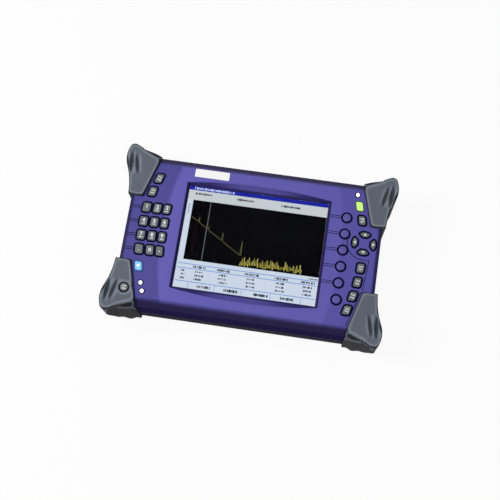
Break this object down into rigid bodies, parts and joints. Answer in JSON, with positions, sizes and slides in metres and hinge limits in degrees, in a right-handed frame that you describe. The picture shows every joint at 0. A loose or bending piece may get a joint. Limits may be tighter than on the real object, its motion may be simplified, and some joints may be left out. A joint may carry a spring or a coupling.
{
  "type": "optical time domain reflectometer",
  "caption": "Handheld optical time domain reflectometer with a colour display, keypads, grey rubber corners, hinged connector covers and a folding rear stand.",
  "frame": {"origin": "middle of the footprint, at the level that the rubber corners stand on, with the instrument lying on its back", "axes": "+X to the user's right, +Y to the top edge with the connectors, +Z out of the screen"},
  "size_m": [0.2572, 0.1616, 0.06],
  "materials": {
    "front_shell": "satin moulded, purple",
    "rear_shell": "fine texture, charcoal",
    "gasket_rubber": "matt black",
    "corner_rubber": "matt grey, soft",
    "window_glass": "clear, hard coated",
    "steel_sheet": "plain sheet",
    "circuit_board": "green lacquer",
    "aluminium_case": "bead blasted",
    "nickel_metal": "nickel plated",
    "black_plastic": "matt black",
    "label_white": "printed white plate, bare",
    "light_guide": "clear white, lit",
    "key_green": "satin, lit light green",
    "key_blue": "satin, lit light blue",
    "key_grey": "satin grey",
    "key_purple": "satin purple",
    "key_surround": "matt dark blue",
    "screen_picture": "lit display picture",
    "key_legend": "white printed legend"
  },
  "bodies": {
    "instrument": {"front_housing": "front_shell", "rear_housing": "rear_shell", "shell_gasket": "gasket_rubber", "bumper_upper_right": "corner_rubber", "bumper_upper_left": "corner_rubber", "bumper_lower_left": "corner_rubber", "bumper_lower_right": "corner_rubber", "screen_window": "window_glass", "lcd_module": "steel_sheet", "lcd_bracket": "steel_sheet", "key_boards": "circuit_board", "main_board": "circuit_board", "optical_module": "aluminium_case", "optical_adapter": "nickel_metal", "cover_pins": "steel_sheet", "data_ports": "nickel_metal", "dc_jack": "black_plastic", "connector_panel": "black_plastic", "battery_pack": "black_plastic", "battery_door": "rear_shell", "stand_pins": "steel_sheet", "label_plate": "label_white", "status_lights": "light_guide"},
    "tilt_stand": {"tilt_stand": "rear_shell"},
    "optical_port_cover": {"optical_port_cover": "front_shell"},
    "data_port_cover": {"data_port_cover": "front_shell"},
    "key_1": {"key_1": "key_grey"},
    "key_2": {"key_2": "key_grey"},
    "key_3": {"key_3": "key_grey"},
    "key_4": {"key_4": "key_grey"},
    "key_5": {"key_5": "key_grey"},
    "key_6": {"key_6": "key_grey"},
    "key_7": {"key_7": "key_grey"},
    "key_8": {"key_8": "key_grey"},
    "key_9": {"key_9": "key_grey"},
    "key_point": {"key_point": "key_grey"},
    "key_0": {"key_0": "key_grey"},
    "key_sign": {"key_sign": "key_grey"},
    "upper_function_key": {"upper_function_key": "key_grey"},
    "lower_function_key": {"lower_function_key": "key_grey"},
    "menu_key": {"menu_key": "key_grey"},
    "side_key_1": {"side_key_1": "key_grey"},
    "side_key_2": {"side_key_2": "key_grey"},
    "side_key_3": {"side_key_3": "key_grey"},
    "side_key_4": {"side_key_4": "key_grey"},
    "arrow_up": {"arrow_up": "key_grey"},
    "arrow_left": {"arrow_left": "key_grey"},
    "arrow_down": {"arrow_down": "key_grey"},
    "arrow_right": {"arrow_right": "key_grey"},
    "power_button": {"power_button": "key_grey"},
    "soft_key_1": {"soft_key_1": "key_purple"},
    "soft_key_2": {"soft_key_2": "key_purple"},
    "soft_key_3": {"soft_key_3": "key_purple"},
    "soft_key_4": {"soft_key_4": "key_purple"},
    "soft_key_5": {"soft_key_5": "key_purple"},
    "soft_key_6": {"soft_key_6": "key_purple"},
    "start_key": {"start_key": "key_green"},
    "back_light_key": {"back_light_key": "key_blue"}
  },
  "joints": [
    {"name": "key_1_press", "type": "slide", "parent": "instrument", "child": "key_1", "axis": [0, 0, -1], "range_m": [0, 0.001], "stiffness_N_per_m": 500, "springref_m": -0.001},
    {"name": "key_2_press", "type": "slide", "parent": "instrument", "child": "key_2", "axis": [0, 0, -1], "range_m": [0, 0.001], "stiffness_N_per_m": 500, "springref_m": -0.001},
    {"name": "key_3_press", "type": "slide", "parent": "instrument", "child": "key_3", "axis": [0, 0, -1], "range_m": [0, 0.001], "stiffness_N_per_m": 500, "springref_m": -0.001},
    {"name": "key_4_press", "type": "slide", "parent": "instrument", "child": "key_4", "axis": [0, 0, -1], "range_m": [0, 0.001], "stiffness_N_per_m": 500, "springref_m": -0.001},
    {"name": "key_5_press", "type": "slide", "parent": "instrument", "child": "key_5", "axis": [0, 0, -1], "range_m": [0, 0.001], "stiffness_N_per_m": 500, "springref_m": -0.001},
    {"name": "key_6_press", "type": "slide", "parent": "instrument", "child": "key_6", "axis": [0, 0, -1], "range_m": [0, 0.001], "stiffness_N_per_m": 500, "springref_m": -0.001},
    {"name": "key_7_press", "type": "slide", "parent": "instrument", "child": "key_7", "axis": [0, 0, -1], "range_m": [0, 0.001], "stiffness_N_per_m": 500, "springref_m": -0.001},
    {"name": "key_8_press", "type": "slide", "parent": "instrument", "child": "key_8", "axis": [0, 0, -1], "range_m": [0, 0.001], "stiffness_N_per_m": 500, "springref_m": -0.001},
    {"name": "key_9_press", "type": "slide", "parent": "instrument", "child": "key_9", "axis": [0, 0, -1], "range_m": [0, 0.001], "stiffness_N_per_m": 500, "springref_m": -0.001},
    {"name": "key_point_press", "type": "slide", "parent": "instrument", "child": "key_point", "axis": [0, 0, -1], "range_m": [0, 0.001], "stiffness_N_per_m": 500, "springref_m": -0.001},
    {"name": "key_0_press", "type": "slide", "parent": "instrument", "child": "key_0", "axis": [0, 0, -1], "range_m": [0, 0.001], "stiffness_N_per_m": 500, "springref_m": -0.001},
    {"name": "key_sign_press", "type": "slide", "parent": "instrument", "child": "key_sign", "axis": [0, 0, -1], "range_m": [0, 0.001], "stiffness_N_per_m": 500, "springref_m": -0.001},
    {"name": "upper_function_key_press", "type": "slide", "parent": "instrument", "child": "upper_function_key", "axis": [0, 0, -1], "range_m": [0, 0.001], "stiffness_N_per_m": 500, "springref_m": -0.001},
    {"name": "lower_function_key_press", "type": "slide", "parent": "instrument", "child": "lower_function_key", "axis": [0, 0, -1], "range_m": [0, 0.001], "stiffness_N_per_m": 500, "springref_m": -0.001},
    {"name": "menu_key_press", "type": "slide", "parent": "instrument", "child": "menu_key", "axis": [0, 0, -1], "range_m": [0, 0.001], "stiffness_N_per_m": 500, "springref_m": -0.001},
    {"name": "side_key_1_press", "type": "slide", "parent": "instrument", "child": "side_key_1", "axis": [0, 0, -1], "range_m": [0, 0.001], "stiffness_N_per_m": 500, "springref_m": -0.001},
    {"name": "side_key_2_press", "type": "slide", "parent": "instrument", "child": "side_key_2", "axis": [0, 0, -1], "range_m": [0, 0.001], "stiffness_N_per_m": 500, "springref_m": -0.001},
    {"name": "side_key_3_press", "type": "slide", "parent": "instrument", "child": "side_key_3", "axis": [0, 0, -1], "range_m": [0, 0.001], "stiffness_N_per_m": 500, "springref_m": -0.001},
    {"name": "side_key_4_press", "type": "slide", "parent": "instrument", "child": "side_key_4", "axis": [0, 0, -1], "range_m": [0, 0.001], "stiffness_N_per_m": 500, "springref_m": -0.001},
    {"name": "arrow_up_press", "type": "slide", "parent": "instrument", "child": "arrow_up", "axis": [0, 0, -1], "range_m": [0, 0.001], "stiffness_N_per_m": 500, "springref_m": -0.001},
    {"name": "arrow_left_press", "type": "slide", "parent": "instrument", "child": "arrow_left", "axis": [0, 0, -1], "range_m": [0, 0.001], "stiffness_N_per_m": 500, "springref_m": -0.001},
    {"name": "arrow_down_press", "type": "slide", "parent": "instrument", "child": "arrow_down", "axis": [0, 0, -1], "range_m": [0, 0.001], "stiffness_N_per_m": 500, "springref_m": -0.001},
    {"name": "arrow_right_press", "type": "slide", "parent": "instrument", "child": "arrow_right", "axis": [0, 0, -1], "range_m": [0, 0.001], "stiffness_N_per_m": 500, "springref_m": -0.001},
    {"name": "power_button_press", "type": "slide", "parent": "instrument", "child": "power_button", "axis": [0, 0, -1], "range_m": [0, 0.001], "stiffness_N_per_m": 500, "springref_m": -0.001},
    {"name": "soft_key_1_press", "type": "slide", "parent": "instrument", "child": "soft_key_1", "axis": [0, 0, -1], "range_m": [0, 0.001], "stiffness_N_per_m": 500, "springref_m": -0.001},
    {"name": "soft_key_2_press", "type": "slide", "parent": "instrument", "child": "soft_key_2", "axis": [0, 0, -1], "range_m": [0, 0.001], "stiffness_N_per_m": 500, "springref_m": -0.001},
    {"name": "soft_key_3_press", "type": "slide", "parent": "instrument", "child": "soft_key_3", "axis": [0, 0, -1], "range_m": [0, 0.001], "stiffness_N_per_m": 500, "springref_m": -0.001},
    {"name": "soft_key_4_press", "type": "slide", "parent": "instrument", "child": "soft_key_4", "axis": [0, 0, -1], "range_m": [0, 0.001], "stiffness_N_per_m": 500, "springref_m": -0.001},
    {"name": "soft_key_5_press", "type": "slide", "parent": "instrument", "child": "soft_key_5", "axis": [0, 0, -1], "range_m": [0, 0.001], "stiffness_N_per_m": 500, "springref_m": -0.001},
    {"name": "soft_key_6_press", "type": "slide", "parent": "instrument", "child": "soft_key_6", "axis": [0, 0, -1], "range_m": [0, 0.001], "stiffness_N_per_m": 500, "springref_m": -0.001},
    {"name": "start_key_press", "type": "slide", "parent": "instrument", "child": "start_key", "axis": [0, 0, -1], "range_m": [0, 0.001], "stiffness_N_per_m": 500, "springref_m": -0.001},
    {"name": "back_light_key_press", "type": "slide", "parent": "instrument", "child": "back_light_key", "axis": [0, 0, -1], "range_m": [0, 0.001], "stiffness_N_per_m": 500, "springref_m": -0.001},
    {"name": "stand_hinge", "type": "hinge", "parent": "instrument", "child": "tilt_stand", "pos_m": [0, 0.054, 0.0054], "axis": [1, 0, 0], "range_deg": [0, 65]},
    {"name": "optical_cover_hinge", "type": "hinge", "parent": "instrument", "child": "optical_port_cover", "pos_m": [-0.04, 0.0707, 0.0303], "axis": [-1, 0, 0], "range_deg": [0, 90]},
    {"name": "data_cover_hinge", "type": "hinge", "parent": "instrument", "child": "data_port_cover", "pos_m": [0.035, 0.0707, 0.0303], "axis": [-1, 0, 0], "range_deg": [0, 90]}
  ]
}
